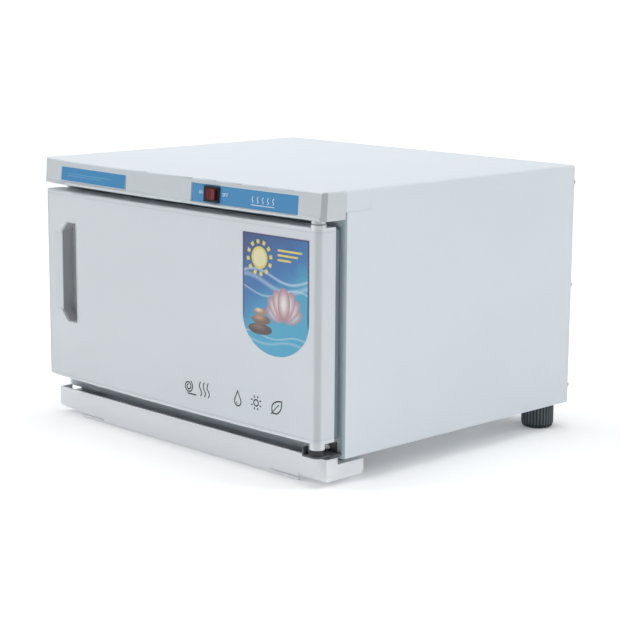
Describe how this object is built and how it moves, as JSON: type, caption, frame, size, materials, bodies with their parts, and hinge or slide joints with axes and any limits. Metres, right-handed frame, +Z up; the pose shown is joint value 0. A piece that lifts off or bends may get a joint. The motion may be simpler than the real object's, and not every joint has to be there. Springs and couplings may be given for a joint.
{
  "type": "towel warmer sterilizer",
  "caption": "Countertop hot towel cabinet: bowed side-hung door with a recessed grip, moulded header with rocker switch, heated chamber with wire racks and lamp, drip tray.",
  "frame": {"origin": "centre of the bounding box's underside, on the plane the feet stand on", "axes": "+X to the right seen from the front, +Y from the front to the back, +Z up; the door faces -Y"},
  "size_m": [0.45, 0.3998, 0.2948],
  "materials": {
    "case_paint": "smooth satin powder coat",
    "inner_sheet": "satin coated sheet",
    "header_plastic": "moulded, half gloss",
    "label_film": "printed film, half gloss",
    "switch_black": "moulded, half gloss",
    "rocker_red": "clear red, gloss",
    "door_plastic": "moulded, half gloss",
    "liner_plastic": "vacuum formed, satin",
    "core_foam": "closed cell foam",
    "gasket_rubber": "soft, matt",
    "magnet_strip": "bonded magnet strip, matt",
    "cup_plastic": "moulded, fine grain",
    "decal_film": "printed film, gloss",
    "bush_plastic": "moulded, satin",
    "hinge_steel": "dark coated steel",
    "screw_steel": "zinc plated",
    "pin_steel": "turned",
    "rail_steel": "galvanised",
    "chamber_sheet": "mill finish",
    "wool_board": "mineral wool board",
    "heater_plate": "foil faced plate",
    "thermostat_black": "moulded, satin",
    "cutoff_brown": "moulded, satin",
    "lamp_glass": "clear quartz tube with metal caps",
    "holder_white": "moulded, satin",
    "wire_chrome": "plated wire",
    "ballast_steel": "dark lacquer",
    "starter_white": "moulded, satin",
    "terminal_white": "moulded, satin",
    "tray_plastic": "moulded, satin",
    "foot_rubber": "ribbed, matt",
    "inlet_rubber": "moulded bushing, matt"
  },
  "bodies": {
    "cabinet": {"outer_wrap": "case_paint", "back_panel": "case_paint", "back_screws": "screw_steel", "base_pan": "inner_sheet", "feet": "foot_rubber", "foot_screws": "screw_steel", "front_frame": "inner_sheet", "header_fascia": "header_plastic", "header_screws": "screw_steel", "label_left": "label_film", "label_right": "label_film", "switch_housing": "switch_black", "chamber_liner": "chamber_sheet", "insulation": "wool_board", "chamber_supports": "rail_steel", "heater_plate": "heater_plate", "thermostat": "thermostat_black", "thermal_cutoff": "cutoff_brown", "lamp_tube": "lamp_glass", "lamp_holder_left": "holder_white", "lamp_holder_right": "holder_white", "lamp_guard": "wire_chrome", "lamp_ballast": "ballast_steel", "lamp_starter": "starter_white", "terminal_block": "terminal_white", "hinge_bracket_top": "hinge_steel", "hinge_bracket_bottom": "hinge_steel", "hinge_pin_top": "pin_steel", "hinge_pin_bottom": "pin_steel", "bracket_screws": "screw_steel", "tray_rails": "rail_steel", "cord_inlet": "inlet_rubber"},
    "door": {"door_shell": "door_plastic", "door_liner": "liner_plastic", "door_core": "core_foam", "door_gasket": "gasket_rubber", "gasket_magnet": "magnet_strip", "handle_cup": "cup_plastic", "door_decal": "decal_film", "door_screws": "screw_steel", "hinge_bush_top": "bush_plastic", "hinge_bush_bottom": "bush_plastic"},
    "rocker": {"rocker_button": "rocker_red"},
    "tray": {"drip_tray": "tray_plastic"},
    "rack_high": {"rack_upper": "wire_chrome"},
    "rack_low": {"rack_lower": "wire_chrome"}
  },
  "joints": [
    {"name": "door_hinge", "type": "hinge", "parent": "cabinet", "child": "door", "pos_m": [0.2121, -0.18571, 0.1533], "axis": [0, 0, 1], "range_deg": [0, 180]},
    {"name": "rocker_pivot", "type": "hinge", "parent": "cabinet", "child": "rocker", "pos_m": [0.0685, -0.19496, 0.2798], "axis": [0, 0.076, 0.9971], "range_deg": [0, 16]},
    {"name": "tray_slide", "type": "slide", "parent": "cabinet", "child": "tray", "axis": [0, -1, 0], "range_m": [0, 0.03]},
    {"name": "rack_high_slide", "type": "slide", "parent": "cabinet", "child": "rack_high", "axis": [0, -1, 0], "range_m": [0, 0.008]},
    {"name": "rack_low_slide", "type": "slide", "parent": "cabinet", "child": "rack_low", "axis": [0, -1, 0], "range_m": [0, 0.008]}
  ]
}
